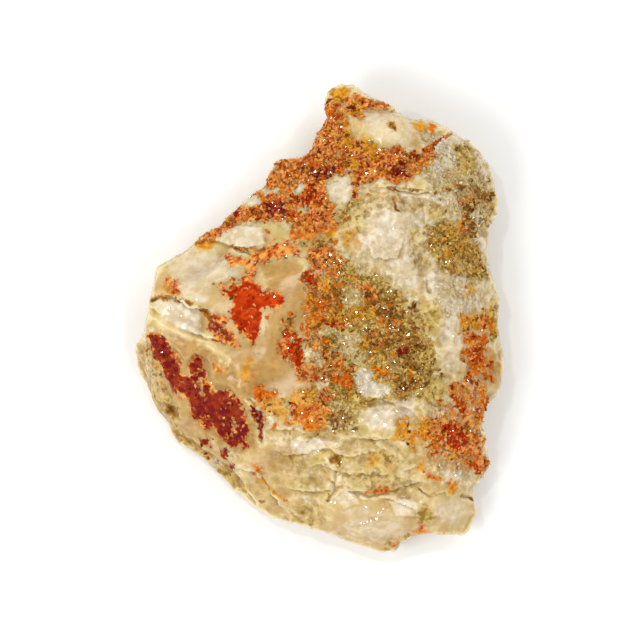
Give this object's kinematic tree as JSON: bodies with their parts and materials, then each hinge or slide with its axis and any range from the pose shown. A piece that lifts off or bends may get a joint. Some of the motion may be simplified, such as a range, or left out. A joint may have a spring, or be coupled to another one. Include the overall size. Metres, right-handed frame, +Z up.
{
  "type": "jarosite mineral specimen",
  "caption": "Hand-sized lump of milky quartz with rusty red, orange and olive jarosite crusts of small crystals, lying on its flat broken underside.",
  "frame": {"origin": "on the flat rest face, under the middle of the specimen's bounding box", "axes": "+Z up from the rest face, +Y along the length towards the narrow tip, +X towards the steep right side as the picture shows it"},
  "size_m": [0.05, 0.0638, 0.0207],
  "materials": {
    "milky_quartz": "broken, glassy to waxy, cream and tan with olive and orange stains",
    "rust_druse": "fine sparkling crystal crust, rust red to orange",
    "olive_druse": "fine sparkling crystal crust, olive brown with gold and orange grains",
    "maroon_crust": "platy crust, maroon to purple red, satin"
  },
  "bodies": {
    "root": {"quartz_matrix": "milky_quartz", "jarosite_crust_upper": "rust_druse", "jarosite_crust_cross": "rust_druse", "jarosite_crust_hollow": "olive_druse", "jarosite_crust_left_band": "maroon_crust", "jarosite_crust_lower": "rust_druse", "jarosite_crust_right_shoulder": "olive_druse", "jarosite_crust_right_edge": "rust_druse", "jarosite_crust_lower_right": "rust_druse"}
  },
  "joints": []
}
